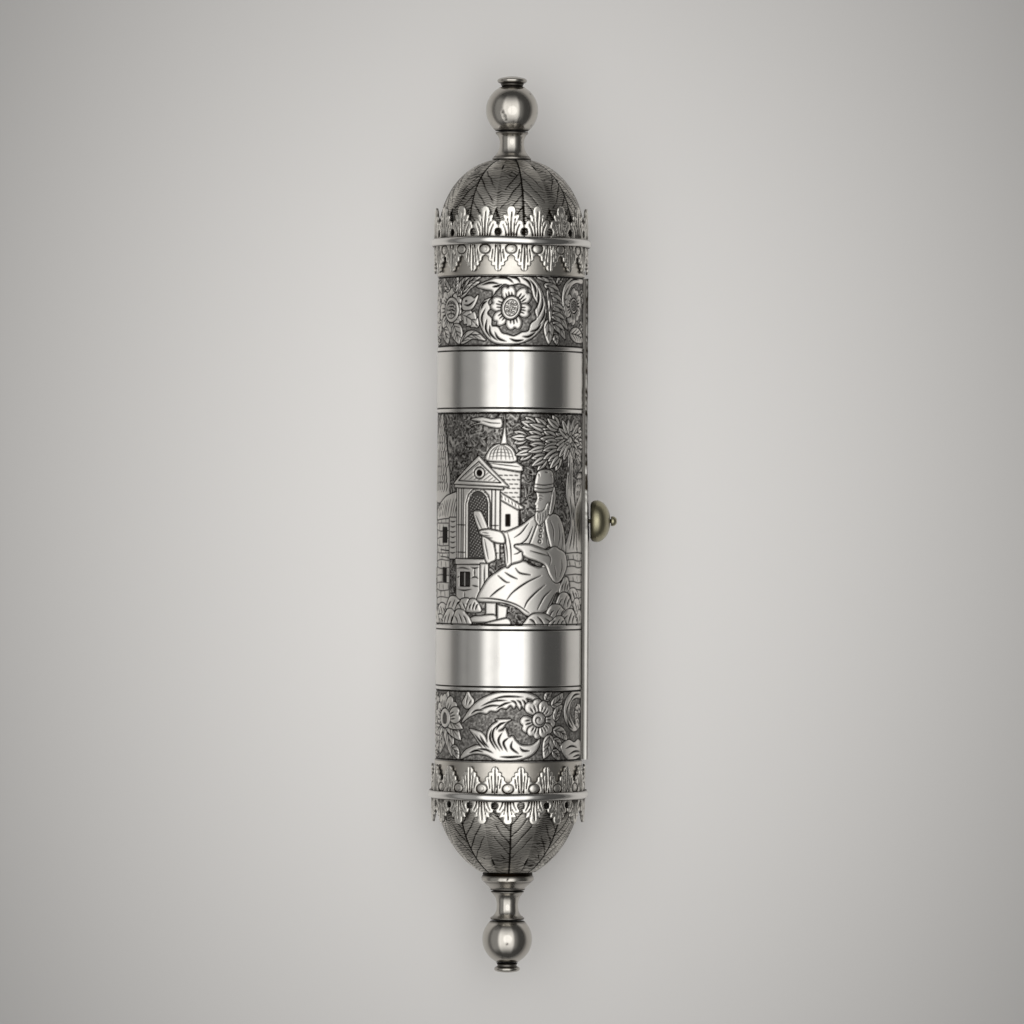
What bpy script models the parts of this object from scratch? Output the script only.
"""A cased esther scroll: an empty round silver case with leaf crowns, domed ends and turned finials.

The case is modelled standing upright, its axis on Z, its front towards -Y and its slot towards +X.
Its parent empty then lays it down along Y, so that it lies on the two wire rings.
"""

import math

import bmesh
import bpy
from mathutils import Vector

MM = 0.001
GAP = 0.3 * MM
MERGE = 0.00001

# Case tube
FACETS = 36
TUBE_FACETS = 24
TUBE_RADIUS = 21.4 * MM
TUBE_WALL = 1.0 * MM
TUBE_TOP = 81.6 * MM
TUBE_FOOT = -78.3 * MM

# Ornamented bands of the tube, as heights above the frame's origin
UPPER_FLORAL_TOP = 71.6 * MM
UPPER_FLORAL_FOOT = 51.2 * MM
SCENE_TOP = 32.3 * MM
SCENE_FOOT = -29.1 * MM
LOWER_FLORAL_TOP = -47.8 * MM
LOWER_FLORAL_FOOT = -68.2 * MM
GROUND_DEPTH = 0.35 * MM
RELIEF_BELOW_FACE = 0.03 * MM
RELIEF_ROOT = 0.3 * MM
RELIEF_TURN = math.radians(1.3)
ROUND_PETAL_NOTCH = 0.62
POINTED_PETAL_NOTCH = 0.68

# Slot and the bar in it
SLOT_PAST_BANDS = 0.2 * MM
SLOT_WIDTH = 4.0 * MM
BAR_WIDTH = 6.0 * MM
BAR_THICKNESS = 1.5 * MM
WEB_REACH = 1.2 * MM

# Thumb knob and its stud
KNOB_BELOW_MIDDLE = 0.6 * MM
KNOB_RADIUS = 6.1 * MM
KNOB_RIM = 0.8 * MM
KNOB_BULGE = 5.7 * MM
STUD_HEAD_RADIUS = 1.45 * MM
STUD_HEAD_LENGTH = 1.65 * MM
STUD_SHANK_RADIUS = 0.6 * MM
STUD_FACETS = 12

# Leaf galleries and the wire rings round them
LEAVES = 18
GALLERY_THICKNESS = 0.7 * MM
LEAF_VALLEY = 4.5 * MM
HOLE_HEIGHT = 2.75 * MM
HOLE_RADIUS = 0.85 * MM
RING_THICKNESS = 0.7 * MM
RING_WIDTH = 2.4 * MM
RING_FLAT_DEPTH = 0.37 * MM
UPPER_LEAF_OUT = 10.1 * MM
UPPER_LEAF_IN = 8.9 * MM
LOWER_LEAF_OUT = 8.0 * MM
LOWER_LEAF_IN = 8.8 * MM

# Domes
DOME_WALL = 1.0 * MM
DOME_LIP = 3.6 * MM
DOME_STEPS = 6
DOME_LEAF_FACETS = 2
DOME_LEAF_DEPTH = 0.3 * MM
UPPER_DOME_HEIGHT = 23.8 * MM
UPPER_DOME_TOP_RADIUS = 6.6 * MM
UPPER_DOME_FULLNESS = 2.2
LOWER_DOME_STEP = 0.5 * MM
LOWER_DOME_HEIGHT = 22.3 * MM
LOWER_DOME_TOP_RADIUS = 8.2 * MM
LOWER_DOME_FULLNESS = 2.0

# Turned finials
FINIAL_FACETS = 18
UPPER_NECK_LENGTH = 8.1 * MM
UPPER_NECK_FOOT_RADIUS = 5.7 * MM
UPPER_NECK_WAIST_RADIUS = 3.95 * MM
UPPER_NECK_HEAD_RADIUS = 4.8 * MM
UPPER_BALL_RADIUS = 7.7 * MM
UPPER_BUTTON_RADIUS = 4.5 * MM
UPPER_BUTTON_LENGTH = 2.8 * MM
LOWER_NECK_LENGTH = 8.3 * MM
LOWER_NECK_FOOT_RADIUS = 4.8 * MM
LOWER_NECK_WAIST_RADIUS = 3.4 * MM
LOWER_NECK_HEAD_RADIUS = 5.0 * MM
LOWER_BALL_RADIUS = 7.4 * MM
LOWER_BUTTON_RADIUS = 4.2 * MM
LOWER_BUTTON_LENGTH = 2.7 * MM
BALL_STEPS = 7

# Turning collar below the lower dome
COLLAR_RADIUS = 7.7 * MM
COLLAR_RIM = 2.2 * MM
COLLAR_LENGTH = 5.1 * MM
COLLAR_FOOT_RADIUS = 5.0 * MM
JOURNAL_RADIUS = 3.2 * MM
KEEPER_RADIUS = 4.7 * MM
KEEPER_THICKNESS = 0.7 * MM

# Sizes that follow from the ones above
GROUND_RADIUS = TUBE_RADIUS - GROUND_DEPTH
TUBE_BORE = TUBE_RADIUS - TUBE_WALL
UPPER_DOME_RADIUS = TUBE_RADIUS
LOWER_DOME_RADIUS = TUBE_RADIUS - LOWER_DOME_STEP
GALLERY_BORE = TUBE_RADIUS + GAP
GALLERY_RADIUS = GALLERY_BORE + GALLERY_THICKNESS
RING_BORE = GALLERY_RADIUS + GAP
RING_RADIUS = RING_BORE + RING_THICKNESS
REST_DEPTH = RING_RADIUS - RING_FLAT_DEPTH
SLOT_TOP = UPPER_FLORAL_TOP + SLOT_PAST_BANDS
SLOT_FOOT = LOWER_FLORAL_FOOT - SLOT_PAST_BANDS
KNOB_HEIGHT = (SLOT_TOP + SLOT_FOOT) / 2 - KNOB_BELOW_MIDDLE
BAR_FACE = TUBE_RADIUS + GAP
BAR_TOP = BAR_FACE + BAR_THICKNESS
KNOB_SEAT = BAR_TOP + GAP
KNOB_TOP = KNOB_SEAT + KNOB_BULGE
STUD_SEAT = KNOB_TOP + GAP
STUD_TOP = STUD_SEAT + STUD_HEAD_LENGTH
AXIS_X = (RING_RADIUS - STUD_TOP) / 2
MILLIMETRES_ROUND = 2 * math.pi * TUBE_RADIUS / MM

SILVER = ((0.62, 0.61, 0.58, 1.0), 0.28, 1.0)
DARK_SILVER = ((0.40, 0.385, 0.355, 1.0), 0.38, 1.0)
BRASS = ((0.33, 0.28, 0.15, 1.0), 0.42, 1.0)


def clear_scene():
    """Removes every object, so that the file holds the case alone."""
    for old in list(bpy.data.objects):
        bpy.data.objects.remove(old, do_unlink=True)


def collection(name):
    """A new collection in the scene."""
    made = bpy.data.collections.new(name)
    bpy.context.scene.collection.children.link(made)
    return made


def metal(name, finish):
    """A metal from its base colour, roughness and metallic value."""
    colour, roughness, metallic = finish
    made = bpy.data.materials.new(name)
    made.use_nodes = True
    shader = made.node_tree.nodes["Principled BSDF"]
    shader.inputs["Base Color"].default_value = colour
    shader.inputs["Roughness"].default_value = roughness
    shader.inputs["Metallic"].default_value = metallic
    return made


def new_object(name, mesh, home, parent=None, finish=None):
    made = bpy.data.objects.new(name, mesh)
    home.objects.link(made)
    made.parent = parent
    if finish:
        mesh.materials.append(metal(name + "_metal", finish))
    return made


def turned(name, profile, facets, home, parent=None, finish=None):
    """A turned piece: (radius, height) points down its outer side, closed on itself or on its axis."""
    on_axis = profile[0][0] == 0 and profile[-1][0] == 0
    mesh = bpy.data.meshes.new(name)
    edges = [(i, i + 1) for i in range(len(profile) - 1)]
    if not on_axis:
        edges.append((len(profile) - 1, 0))
    mesh.from_pydata([(radius, 0, height) for radius, height in profile], edges, [])
    made = new_object(name, mesh, home, parent, finish)
    screw = made.modifiers.new("Turn", "SCREW")
    screw.steps = screw.render_steps = facets
    screw.use_merge_vertices = True
    screw.merge_threshold = MERGE
    return made


def boolean(piece, other, operation):
    step = piece.modifiers.new(other.name, "BOOLEAN")
    step.operation = operation
    step.object = other
    step.solver = "EXACT"


def box_cutter(name, corner, far_corner, parent):
    """A box between two opposite corners."""
    bm = bmesh.new()
    bmesh.ops.create_cube(bm, size=1)
    corner, far_corner = Vector(corner), Vector(far_corner)
    for vert in bm.verts:
        share = vert.co + Vector((0.5, 0.5, 0.5))
        vert.co = [corner[i] + share[i] * (far_corner[i] - corner[i]) for i in range(3)]
    mesh = bpy.data.meshes.new(name)
    bm.to_mesh(mesh)
    bm.free()
    made = new_object(name, mesh, CUTTERS, parent)
    made.hide_render = True
    made.display_type = "WIRE"
    return made


def direction(turn, pitch, first):
    """The way out at an angle round from the front, towards +X, on facets of this pitch."""
    facet = math.floor((turn - first) / pitch)
    share = (turn - first) / pitch - facet
    before, after = first + facet * pitch, first + (facet + 1) * pitch
    x = (1 - share) * math.sin(before) + share * math.sin(after)
    y = (1 - share) * math.cos(before) + share * math.cos(after)
    return Vector((x, -y, 0))


def wrapped_plates(outlines, bend_radius, inner, outer, facets, first=0.0):
    """Flat (u, v) outlines, cut on their facet lines, wrapped round the case and given a thickness.

    The first facet line stands at the angle first, so that reliefs need not share lines with the tube.
    """
    bm = bmesh.new()
    for outline in outlines:
        bm.faces.new([bm.verts.new((u, v, 0)) for u, v in outline])
    bmesh.ops.remove_doubles(bm, verts=bm.verts, dist=MERGE)
    pitch = 2 * math.pi / facets
    width = pitch * bend_radius
    low = math.floor(min(vert.co.x for vert in bm.verts) / width) - 1
    high = math.ceil(max(vert.co.x for vert in bm.verts) / width) + 1
    for line in range(low + 1, high):
        whole = bm.verts[:] + bm.edges[:] + bm.faces[:]
        place = (line * width + first * bend_radius, 0, 0)
        bmesh.ops.bisect_plane(bm, geom=whole, dist=MERGE / 10, plane_co=place, plane_no=(1, 0, 0))
    for vert in bm.verts:
        out = direction(vert.co.x / bend_radius, pitch, first) * inner
        vert.co = (out.x, out.y, vert.co.y)
    bmesh.ops.remove_doubles(bm, verts=bm.verts, dist=MERGE)
    grown = bmesh.ops.extrude_face_region(bm, geom=bm.faces[:], use_keep_orig=True)
    for vert in [item for item in grown["geom"] if isinstance(item, bmesh.types.BMVert)]:
        vert.co = (vert.co.x * outer / inner, vert.co.y * outer / inner, vert.co.z)
    bmesh.ops.recalc_face_normals(bm, faces=bm.faces)
    return bm


def to_mesh(name, bm):
    mesh = bpy.data.meshes.new(name)
    bm.to_mesh(mesh)
    bm.free()
    return mesh


# Outlines of the reliefs, in millimetres: u runs round the case to the right, v up it

def rectangle(left, foot, right, top):
    return [(left, foot), (right, foot), (right, top), (left, top)]


def rosette(u, v, radius, petals, turn=0.0, notch=ROUND_PETAL_NOTCH):
    """A flower's outline: it goes out to each petal's tip and in between each two."""
    points = []
    for step in range(petals * 2):
        reach = radius * (1.0 if step % 2 else notch)
        angle = math.pi * step / petals + turn
        points.append((u + reach * math.cos(angle), v + reach * math.sin(angle)))
    return points


def scroll(u, v, radius, width, start, sweep, steps=8):
    """A leaf bent round a centre: widest in its middle, pointed at both ends."""
    outer, inner = [], []
    for step in range(steps + 1):
        share = step / steps
        angle = math.radians(start + sweep * share)
        half = width * math.sin(math.pi * share) ** 0.7 / 2
        outer.append((u + (radius + half) * math.cos(angle), v + (radius + half) * math.sin(angle)))
        if 0 < step < steps:
            inner.append((u + (radius - half) * math.cos(angle), v + (radius - half) * math.sin(angle)))
    return outer + inner[::-1]


def leaf(u, v, length, width, turn, bend=0.0):
    """A pointed leaf that grows from (u, v) at turn degrees."""
    shape = [(0, 0), (0.4, -0.45), (1, bend), (0.65, 0.36 + bend), (0.25, 0.4)]
    cos, sin = math.cos(math.radians(turn)), math.sin(math.radians(turn))
    return [
        (u + length * along * cos - width * across * sin, v + length * along * sin + width * across * cos)
        for along, across in shape
    ]


def bush(u, foot, width, height, steps=5):
    """A rounded mound on a flat foot."""
    arc = [math.pi * step / steps for step in range(steps + 1)]
    return [(u + width / 2 * math.cos(a), foot + height * math.sin(a)) for a in arc]


def cypress(u, foot, width, height):
    """A tall pointed tree."""
    side = [(0.36, 0.0), (0.5, 0.2), (0.42, 0.55), (0.22, 0.85)]
    right = [(u + width * across, foot + height * up) for across, up in side]
    left = [(u - width * across, foot + height * up) for across, up in reversed(side)]
    return right + [(u, foot + height)] + left


def floral_units(middle, tilt):
    """Flowers round one band: a scrolled wreath in front, daisies beside it and plainer ones behind."""
    outlines = []
    for unit in range(-2, 4):
        u = unit * MILLIMETRES_ROUND / 6
        if unit == 0:
            outlines.append(rosette(u + 0.4, middle, 5.6, 6, 0.2))
            outlines.append(scroll(u + 0.4, middle, 8.2, 2.6, 150 * tilt, -315 * tilt))
            outlines.append(leaf(u + 11.4, middle - 2.0 * tilt, 8.0, 3.4, 70 * tilt))
            outlines.append(leaf(u - 11.0, middle + 2.0 * tilt, 8.0, 3.4, -110 * tilt))
        else:
            petals = 8 if abs(unit) == 1 else 6
            outlines.append(rosette(u, middle, 4.9, petals, 0.0, POINTED_PETAL_NOTCH))
            for across, up in ((-1, 1), (1, 1), (1, -1), (-1, -1)):
                if abs(unit) == 1:
                    turn = math.degrees(math.atan2(up * 1.2, across))
                    outlines.append(leaf(u + 2.6 * across, middle + 5.2 * up, 4.8, 2.8, turn))
    return outlines


def gatehouse(base):
    """The town gate: a gabled front with an arch, a wing and a round tower with a cupola behind."""
    pediment = [(-18.2, base + 8.4), (-2.0, base + 8.4), (-9.5, base + 15.9)]
    arch = [(-12.9, base - 13.4), (-12.9, base + 3.2), (-11.4, base + 5.6), (-9.6, base + 6.2)]
    arch += [(-7.9, base + 5.6), (-6.4, base + 3.2), (-6.4, base - 1.2)]
    arch += [(-3.0, base - 1.6), (-3.0, base + 7.4)]
    front = [(-17.2, base + 7.4), (-17.2, base - 13.4)] + arch
    wing = [(-2.5, base - 4.6), (2.7, base - 3.0), (2.7, base + 2.0), (-2.5, base + 4.6)]
    roof = [(-2.5, base + 5.2), (4.2, base + 1.6), (4.2, base + 2.9), (-2.5, base + 6.6)]
    tower = [(-0.9, base + 8.2), (2.7, base + 4.4), (2.7, base + 11.8), (-5.2, base + 12.6)]
    cornice = [(-5.9, base + 13.1), (3.7, base + 12.2), (3.7, base + 13.5), (-6.8, base + 14.6)]
    cupola = bush(-2.5, base + 15.0, 9.2, 4.4, 6)
    spire = [(-2.7, base + 20.0), (-0.8, base + 20.0), (-1.6, base + 28.4)]
    pennant = [(-3.0, base + 24.2), (-3.0, base + 27.0), (-7.4, base + 27.6), (-12.3, base + 26.5)]
    pennant += [(-8.4, base + 25.8), (-12.3, base + 24.8), (-7.6, base + 24.6)]
    return [pediment, front, wing, roof, tower, cornice, cupola, spire, pennant]


def seated_man(base):
    """A seated man in a long robe and a tall cap, who holds a rolled letter out to the left."""
    cap = [(7.6, base + 6.5), (12.9, base + 6.7), (13.8, base + 10.4), (12.3, base + 12.2)]
    cap += [(9.4, base + 11.9), (7.4, base + 8.6)]
    head = [(7.9, base + 6.0), (7.7, base + 2.6), (8.6, base - 0.9), (12.2, base + 0.4), (12.9, base + 6.2)]
    chest = [(-2.3, base - 6.0), (7.9, base - 1.4), (12.5, base - 0.2), (11.6, base - 10.6)]
    chest += [(5.6, base - 9.2), (1.6, base - 9.8), (4.0, base - 12.8), (-0.4, base - 15.0)]
    arm = [(13.0, base - 0.6), (16.4, base - 2.0), (18.4, base - 7.0), (19.0, base - 15.4)]
    arm += [(15.0, base - 19.6), (11.4, base - 14.8), (4.8, base - 12.7), (2.5, base - 10.2)]
    arm.append((12.0, base - 11.1))
    hand = [(-8.7, base - 5.6), (-2.8, base - 5.6), (-2.8, base - 8.4), (-6.0, base - 8.2)]
    letter = [(-9.2, base - 1.4), (-6.6, base - 1.4), (-6.6, base - 5.0), (-9.2, base - 5.0)]
    robe = [(-9.4, base - 25.0), (-5.6, base - 18.6), (-0.2, base - 15.6), (4.4, base - 13.6)]
    robe += [(11.0, base - 15.6), (14.6, base - 20.2), (17.0, base - 20.2), (14.0, base - 25.6)]
    robe += [(5.8, base - 29.6), (0.8, base - 26.4)]
    near_foot = [(-7.0, base - 26.0), (-4.0, base - 26.2), (-3.9, base - 31.0), (-12.4, base - 31.4)]
    far_foot = [(-3.4, base - 26.4), (-0.8, base - 27.0), (-0.4, base - 31.2), (-3.2, base - 31.0)]
    return [cap, head, chest, arm, hand, letter, robe, near_foot, far_foot]


def palm(u, base):
    """A palm tree: a bent trunk and fans of pointed leaves."""
    trunk = [(u - 1.0, base), (u + 4.2, base), (u + 1.4, base + 10), (u + 0.9, base + 28)]
    trunk += [(u - 0.9, base + 28), (u - 1.6, base + 10)]
    heart = base + 31.6
    fan = [leaf(u + 2.4 * math.cos(math.radians(a)), heart + 2.4 * math.sin(math.radians(a)),
                7.0 if 90 < a < 270 else 5.4, 2.6, a) for a in (-50, -10, 35, 112, 146, 180, 214)]
    outer = [leaf(u - 10.2, heart + 4.2 * rise, 6.6, 2.9, 178 - 14 * rise) for rise in (-1, 0, 1)]
    return [trunk] + fan + outer


def scene_outlines():
    """The figures of the middle band: man, gate, trees and stones in front, trees and houses behind."""
    base = 0.0
    outlines = gatehouse(base + 1.9) + seated_man(base + 1.9) + palm(20.6, base - 9.0)
    outlines.append(cypress(-26.4, base - 1.0, 11.0, 31.8))
    outlines.append(rectangle(-26.2, base - 20.4, -17.8, base - 2.0))
    outlines.append(rectangle(-17.2, base - 20.6, -9.9, base - 12.2))
    outlines.append(rectangle(20.2, base - 22.0, 29.8, base - 10.0))
    for u in (-30.0, -22.6, -15.2, 17.9, 25.4):
        outlines.append(bush(u, base - 28.6, 7.0, 5.0 if u < 0 else 5.8))
    for copy in range(3):
        u = 46.0 + 15.0 * copy
        outlines.append(cypress(u, base - 14.0, 9.0, 40.0))
        outlines.append(rectangle(u - 5.4, base - 28.0, u + 5.4, base - 15.0))
    return outlines


def tube_profile():
    """The tube's outer side down, with the grounds of its three ornamented bands cut in."""
    points = [(TUBE_RADIUS, TUBE_TOP)]
    for top, foot in ((UPPER_FLORAL_TOP, UPPER_FLORAL_FOOT), (SCENE_TOP, SCENE_FOOT),
                      (LOWER_FLORAL_TOP, LOWER_FLORAL_FOOT)):
        points += [(TUBE_RADIUS, top), (GROUND_RADIUS, top), (GROUND_RADIUS, foot), (TUBE_RADIUS, foot)]
    return points + [(TUBE_RADIUS, TUBE_FOOT), (TUBE_BORE, TUBE_FOOT), (TUBE_BORE, TUBE_TOP)]


def make_tube(parent):
    """The tube: turned, slotted along the side of the knob, with its reliefs standing on the grounds."""
    tube = turned("case_tube", tube_profile(), TUBE_FACETS, CASE, parent, SILVER)
    slot = box_cutter(
        "slot_cutter",
        (TUBE_BORE / 2, -SLOT_WIDTH / 2, SLOT_FOOT),
        (TUBE_RADIUS + TUBE_WALL, SLOT_WIDTH / 2, SLOT_TOP),
        parent,
    )
    boolean(tube, slot, "DIFFERENCE")
    upper_middle = (UPPER_FLORAL_TOP + UPPER_FLORAL_FOOT) / 2 / MM
    lower_middle = (LOWER_FLORAL_TOP + LOWER_FLORAL_FOOT) / 2 / MM
    outlines = floral_units(upper_middle, 1) + floral_units(lower_middle, -1) + scene_outlines()
    in_metres = [[(u * MM, v * MM) for u, v in outline] for outline in outlines]
    root, face = GROUND_RADIUS - RELIEF_ROOT, TUBE_RADIUS - RELIEF_BELOW_FACE
    plates = wrapped_plates(in_metres, TUBE_RADIUS, root, face, TUBE_FACETS, RELIEF_TURN)
    reliefs = new_object("reliefs", to_mesh("reliefs", plates), CUTTERS, parent)
    reliefs.hide_render = True
    reliefs.display_type = "WIRE"
    boolean(tube, reliefs, "UNION")


def half_leaf_outline(out, into):
    """Half of one pitch of a gallery: half an outward leaf, half an inward leaf and half a hole."""
    half = math.pi * GALLERY_RADIUS / LEAVES
    inward = [(0.0, 0.42), (0.22, 0.76), (0.46, 0.72), (1.0, 1.0)]
    outward = [(1.0, LEAF_VALLEY), (0.82, 0.72 * out), (0.52, 0.68 * out), (0.0, out)]
    hole = [(half, HOLE_HEIGHT - HOLE_RADIUS), (half - HOLE_RADIUS, HOLE_HEIGHT)]
    hole.append((half, HOLE_HEIGHT + HOLE_RADIUS))
    lower = [(half * across, -into * down) for across, down in inward]
    upper = [(half * across, up) for across, up in outward]
    return lower + hole + upper


def make_gallery(name, ring, out, into, parent):
    """A gallery of leaves either way from a ring; its outward leaves point away from the tube."""
    way = 1 if ring > 0 else -1
    half = math.pi * GALLERY_RADIUS / LEAVES
    outline = half_leaf_outline(out, into)
    halves = []
    for copy in range(LEAVES):
        for side in (1, -1):
            start = 2 * half * copy + (0 if side == 1 else 2 * half)
            halves.append([(start + side * across, ring + way * up) for across, up in outline])
    bm = wrapped_plates(halves, GALLERY_RADIUS, GALLERY_BORE, GALLERY_RADIUS, FACETS)
    new_object(name, to_mesh(name, bm), CASE, parent, DARK_SILVER)


def make_ring(name, height, parent):
    """A half-round wire round a gallery, with a flat at the back that keeps the case from rolling."""
    half = RING_WIDTH / 2
    profile = [
        (RING_BORE, height + half),
        (RING_RADIUS, height + half * 0.6),
        (RING_RADIUS, height - half * 0.6),
        (RING_BORE, height - half),
    ]
    ring = turned(name, profile, FACETS, CASE, parent, SILVER)
    flat = box_cutter(
        name + "_flat_cutter",
        (-RING_RADIUS / 2, REST_DEPTH, height - RING_WIDTH),
        (RING_RADIUS / 2, REST_DEPTH + RING_WIDTH, height + RING_WIDTH),
        parent,
    )
    boolean(ring, flat, "DIFFERENCE")


def dome_curve(radius, height, top_radius, fullness):
    """(radius, height above the rim) down the dome, from its flat top to its rim."""
    apex = height / (1 - (top_radius / radius) ** fullness) ** (1 / fullness)
    points = []
    for step in range(DOME_STEPS + 1):
        angle = math.acos(top_radius / radius) * (1 - step / DOME_STEPS)
        up = height * math.sin(angle) / math.sin(math.acos(top_radius / radius))
        points.append((radius * (1 - (up / apex) ** fullness) ** (1 / fullness), up))
    return points


def make_dome(name, way, foot, curve, hole, parent):
    """A dome with a lip inside the tube; its flat top is closed, or bored for the turning collar."""
    inner = [(max(radius - DOME_WALL, hole), up - DOME_WALL) for radius, up in curve[::3]]
    lip = TUBE_BORE - GAP
    rim = [(lip, 0.0), (lip, -DOME_LIP), (lip - DOME_WALL, -DOME_LIP)]
    inner_rim = min(inner[-1][0], lip - DOME_WALL)
    inside = [(inner_rim, DOME_WALL)] + [point for point in inner[::-1] if point[1] > DOME_WALL * 2]
    outside = list(curve)
    if hole:
        outside = [(hole, curve[0][1])] + outside
        inside.append((hole, curve[0][1] - DOME_WALL))
    else:
        outside = [(0.0, curve[0][1])] + outside
        inside.append((0.0, curve[0][1] - DOME_WALL))
    profile = [(radius, foot + way * up) for radius, up in outside + rim + inside]
    if way < 0:
        profile = profile[::-1]
    source = turned(name + "_plain", profile, TUBE_FACETS, CUTTERS, None)
    bpy.context.view_layer.update()
    mesh = bpy.data.meshes.new_from_object(source.evaluated_get(bpy.context.evaluated_depsgraph_get()))
    bpy.data.objects.remove(source, do_unlink=True)
    mesh.name = name
    engrave_leaves(mesh, foot, way, curve)
    new_object(name, mesh, CASE, parent, SILVER)


def engrave_leaves(mesh, foot, way, curve):
    """Sinks every other meridian of the dome's outside, so that leaves stand between them."""
    for vert in mesh.vertices:
        up = way * (vert.co.z - foot)
        radius = math.hypot(vert.co.x, vert.co.y)
        outside = any(math.isclose(up, point[1], abs_tol=MERGE) and
                      math.isclose(radius, point[0], abs_tol=MERGE) for point in curve[1:-1])
        meridian = round(math.atan2(vert.co.y, vert.co.x) * TUBE_FACETS / (2 * math.pi))
        if outside and meridian % DOME_LEAF_FACETS == 0:
            share = (radius - DOME_LEAF_DEPTH) / radius
            vert.co = (vert.co.x * share, vert.co.y * share, vert.co.z)


def neck_profile(foot, length, foot_radius, waist, head, way):
    """A baluster neck from its foot on the dome to its head under the ball."""
    shape = [
        (0.0, 0.0),
        (foot_radius, 0.0),
        (foot_radius, 0.08),
        (waist + (foot_radius - waist) * 0.5, 0.26),
        (waist, 0.58),
        (waist + (head - waist) * 0.45, 0.8),
        (head, 1.0),
        (0.0, 1.0),
    ]
    points = [(radius, foot + way * share * length) for radius, share in shape]
    return points[::-1] if way > 0 else points


def ball_profile(radius, middle, low_radius, high_radius):
    """A ball cut flat where the pieces next to it seat, from its top down."""
    low = -math.acos(low_radius / radius)
    high = math.acos(high_radius / radius)
    arc = [high + (low - high) * step / BALL_STEPS for step in range(BALL_STEPS + 1)]
    points = [(radius * math.cos(angle), middle + radius * math.sin(angle)) for angle in arc]
    return [(0.0, points[0][1])] + points + [(0.0, points[-1][1])]


def button_profile(foot, length, radius, waist, way):
    """A small domed button on a waist."""
    shape = [(0.0, 0.0), (waist, 0.0), (waist, 0.18), (radius, 0.36), (radius, 0.56), (radius * 0.62, 0.9)]
    points = [(across, foot + way * share * length) for across, share in shape + [(0.0, 1.0)]]
    return points[::-1] if way > 0 else points


def make_upper_finial(dome_top, parent):
    """The neck, ball and button on the upper dome, each a gap above the last; returns their top."""
    neck_foot = dome_top + GAP
    turned(
        "upper_neck",
        neck_profile(neck_foot, UPPER_NECK_LENGTH, UPPER_NECK_FOOT_RADIUS, UPPER_NECK_WAIST_RADIUS,
                     UPPER_NECK_HEAD_RADIUS, 1),
        FINIAL_FACETS, CASE, parent, SILVER,
    )
    ball_foot = neck_foot + UPPER_NECK_LENGTH + GAP
    seat = UPPER_NECK_HEAD_RADIUS
    middle = ball_foot + math.sqrt(UPPER_BALL_RADIUS ** 2 - seat ** 2)
    waist = UPPER_BUTTON_RADIUS * 0.8
    ball = ball_profile(UPPER_BALL_RADIUS, middle, seat, waist)
    turned("upper_ball", ball, FINIAL_FACETS, CASE, parent, SILVER)
    button_foot = middle + math.sqrt(UPPER_BALL_RADIUS ** 2 - waist ** 2) + GAP
    turned(
        "upper_button",
        button_profile(button_foot, UPPER_BUTTON_LENGTH, UPPER_BUTTON_RADIUS, waist, 1),
        FINIAL_FACETS, CASE, parent, SILVER,
    )
    return button_foot + UPPER_BUTTON_LENGTH


def collar_profile(dome_top, hole):
    """The turning collar: a keeper inside the dome, a journal through its hole and a flared cup below."""
    inside = dome_top + DOME_WALL + GAP
    cup = dome_top - GAP
    return [
        (0.0, inside + KEEPER_THICKNESS),
        (KEEPER_RADIUS, inside + KEEPER_THICKNESS),
        (KEEPER_RADIUS, inside),
        (hole - GAP, inside),
        (hole - GAP, cup),
        (COLLAR_RADIUS, cup),
        (COLLAR_RADIUS, cup - COLLAR_RIM),
        (COLLAR_RADIUS * 0.8, cup - COLLAR_RIM - (COLLAR_LENGTH - COLLAR_RIM) * 0.4),
        (COLLAR_FOOT_RADIUS, cup - COLLAR_LENGTH),
        (0.0, cup - COLLAR_LENGTH),
    ]


def make_winder(dome_top, hole, parent):
    """The lower finial, which turns on the case's axis: collar, neck, ball and button; returns its end."""
    turned("turning_collar", collar_profile(dome_top, hole), FINIAL_FACETS, CASE, parent, DARK_SILVER)
    neck_foot = dome_top - GAP - COLLAR_LENGTH - GAP
    turned(
        "lower_neck",
        neck_profile(neck_foot, LOWER_NECK_LENGTH, LOWER_NECK_FOOT_RADIUS, LOWER_NECK_WAIST_RADIUS,
                     LOWER_NECK_HEAD_RADIUS, -1),
        FINIAL_FACETS, CASE, parent, SILVER,
    )
    seat = LOWER_NECK_HEAD_RADIUS
    waist = LOWER_BUTTON_RADIUS * 0.78
    middle = neck_foot - LOWER_NECK_LENGTH - GAP - math.sqrt(LOWER_BALL_RADIUS ** 2 - seat ** 2)
    ball = ball_profile(LOWER_BALL_RADIUS, middle, waist, seat)
    turned("lower_ball", ball, FINIAL_FACETS, CASE, parent, SILVER)
    button_foot = middle - math.sqrt(LOWER_BALL_RADIUS ** 2 - waist ** 2) - GAP
    turned(
        "lower_button",
        button_profile(button_foot, LOWER_BUTTON_LENGTH, LOWER_BUTTON_RADIUS, waist, -1),
        FINIAL_FACETS, CASE, parent, SILVER,
    )
    return button_foot - LOWER_BUTTON_LENGTH


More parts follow.
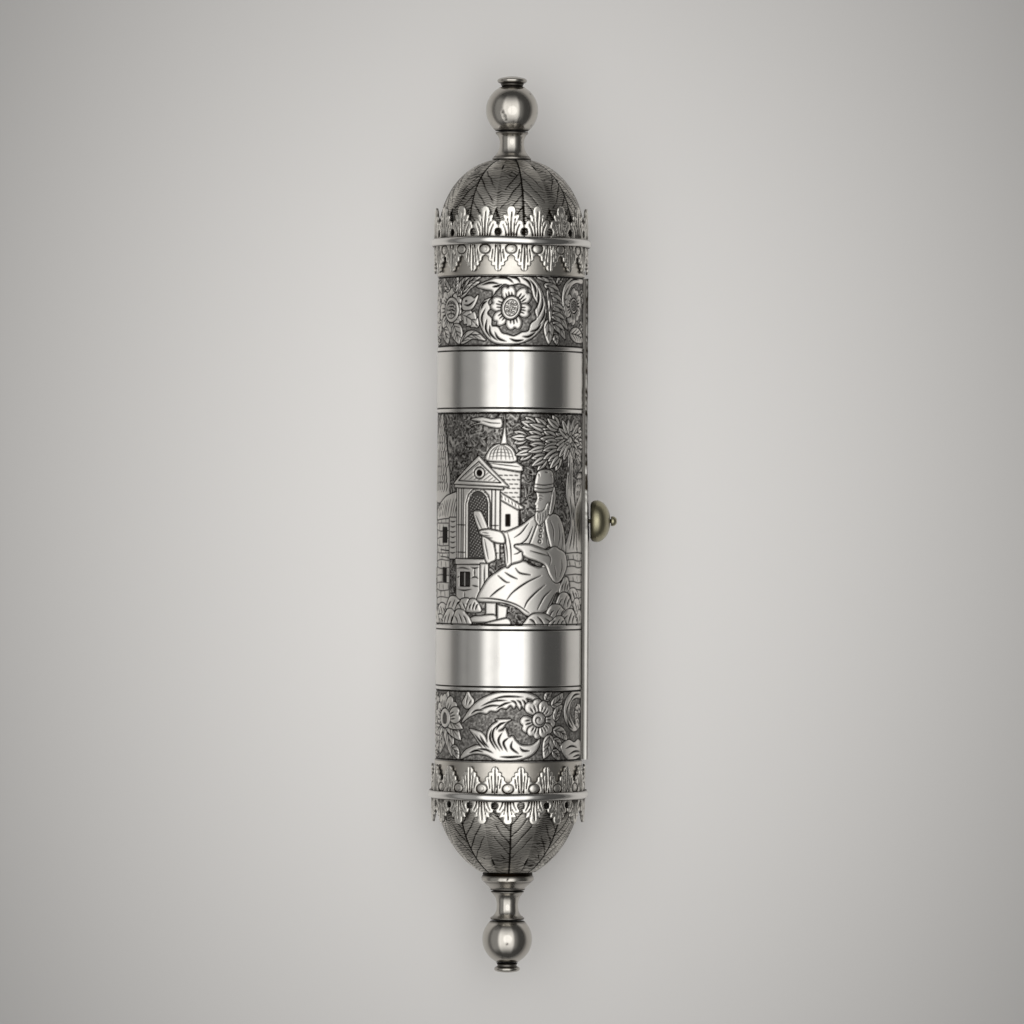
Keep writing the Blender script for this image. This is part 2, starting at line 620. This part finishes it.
def make_bar(parent):
    """The pull bar: a flat strip outside the slot, with a web through it, bored for the stud."""
    web = SLOT_WIDTH / 2 - GAP
    inner = TUBE_BORE - WEB_REACH
    outline = [
        (inner, -web), (BAR_FACE, -web), (BAR_FACE, -BAR_WIDTH / 2), (BAR_TOP, -BAR_WIDTH / 2),
        (BAR_TOP, BAR_WIDTH / 2), (BAR_FACE, BAR_WIDTH / 2), (BAR_FACE, web), (inner, web),
    ]
    bm = bmesh.new()
    section = bm.faces.new([bm.verts.new((x, y, SLOT_FOOT + GAP)) for x, y in outline])
    grown = bmesh.ops.extrude_face_region(bm, geom=[section], use_keep_orig=True)
    raised = [item for item in grown["geom"] if isinstance(item, bmesh.types.BMVert)]
    bmesh.ops.translate(bm, verts=raised, vec=(0, 0, SLOT_TOP - SLOT_FOOT - 2 * GAP))
    bmesh.ops.recalc_face_normals(bm, faces=bm.faces)
    bar = new_object("pull_bar", to_mesh("pull_bar", bm), CASE, parent, SILVER)
    bore = STUD_SHANK_RADIUS + GAP
    profile = [(0.0, KNOB_SEAT), (bore, KNOB_SEAT), (bore, inner - GAP), (0.0, inner - GAP)]
    hole = turned("stud_hole_cutter", profile, STUD_FACETS, CUTTERS, parent)
    hole.hide_render = True
    hole.display_type = "WIRE"
    face_the_slot(hole)
    boolean(bar, hole, "DIFFERENCE")


def face_the_slot(piece):
    """Turns a piece that was turned about Z so that it points out of the slot, at the knob's height."""
    piece.rotation_euler = (0, math.pi / 2, 0)
    piece.location = (0, 0, KNOB_HEIGHT)


def make_knob(parent):
    """The thumb knob, a bulging brass disc, and the stud that holds it on the bar."""
    bore = STUD_SHANK_RADIUS + GAP
    bulge = KNOB_BULGE - KNOB_RIM
    arc = [math.radians(angle) for angle in (75, 57, 38, 18, 0)]
    profile = [(KNOB_RADIUS * math.cos(a), KNOB_SEAT + KNOB_RIM + bulge * math.sin(a)) for a in arc]
    profile[0] = (profile[0][0], KNOB_TOP)
    profile = [(bore, KNOB_TOP)] + profile + [(KNOB_RADIUS * 0.97, KNOB_SEAT), (bore, KNOB_SEAT)]
    knob = turned("thumb_knob", profile, FINIAL_FACETS, CASE, parent, BRASS)
    face_the_slot(knob)
    inner = TUBE_BORE - WEB_REACH
    head = [
        (0.0, STUD_TOP),
        (STUD_HEAD_RADIUS * 0.6, STUD_TOP),
        (STUD_HEAD_RADIUS, STUD_TOP - STUD_HEAD_LENGTH * 0.3),
        (STUD_HEAD_RADIUS, STUD_SEAT),
        (STUD_SHANK_RADIUS, STUD_SEAT),
        (STUD_SHANK_RADIUS, inner),
        (0.0, inner),
    ]
    stud = turned("knob_stud", head, STUD_FACETS, CASE, parent, BRASS)
    face_the_slot(stud)


def main():
    axis = bpy.data.objects.new("case_axis", None)
    CASE.objects.link(axis)
    axis.rotation_euler = (-math.pi / 2, 0, 0)
    winder = bpy.data.objects.new("winder_axis", None)
    CASE.objects.link(winder)
    winder.parent = axis
    make_tube(axis)
    make_gallery("upper_gallery", TUBE_TOP, UPPER_LEAF_OUT, UPPER_LEAF_IN, axis)
    make_gallery("lower_gallery", TUBE_FOOT, LOWER_LEAF_OUT, LOWER_LEAF_IN, axis)
    make_ring("upper_ring", TUBE_TOP, axis)
    make_ring("lower_ring", TUBE_FOOT, axis)
    upper = dome_curve(UPPER_DOME_RADIUS, UPPER_DOME_HEIGHT, UPPER_DOME_TOP_RADIUS, UPPER_DOME_FULLNESS)
    lower = dome_curve(LOWER_DOME_RADIUS, LOWER_DOME_HEIGHT, LOWER_DOME_TOP_RADIUS, LOWER_DOME_FULLNESS)
    hole = JOURNAL_RADIUS + GAP
    make_dome("upper_dome", 1, TUBE_TOP + GAP, upper, 0.0, axis)
    make_dome("lower_dome", -1, TUBE_FOOT - GAP, lower, hole, axis)
    top = make_upper_finial(TUBE_TOP + GAP + UPPER_DOME_HEIGHT, axis)
    end = make_winder(TUBE_FOOT - GAP - LOWER_DOME_HEIGHT, hole, winder)
    axis.location = (AXIS_X, -(top + end) / 2, REST_DEPTH)
    make_bar(axis)
    make_knob(axis)


clear_scene()
CASE = collection("cased_esther_scroll")
CUTTERS = collection("cutters")
main()
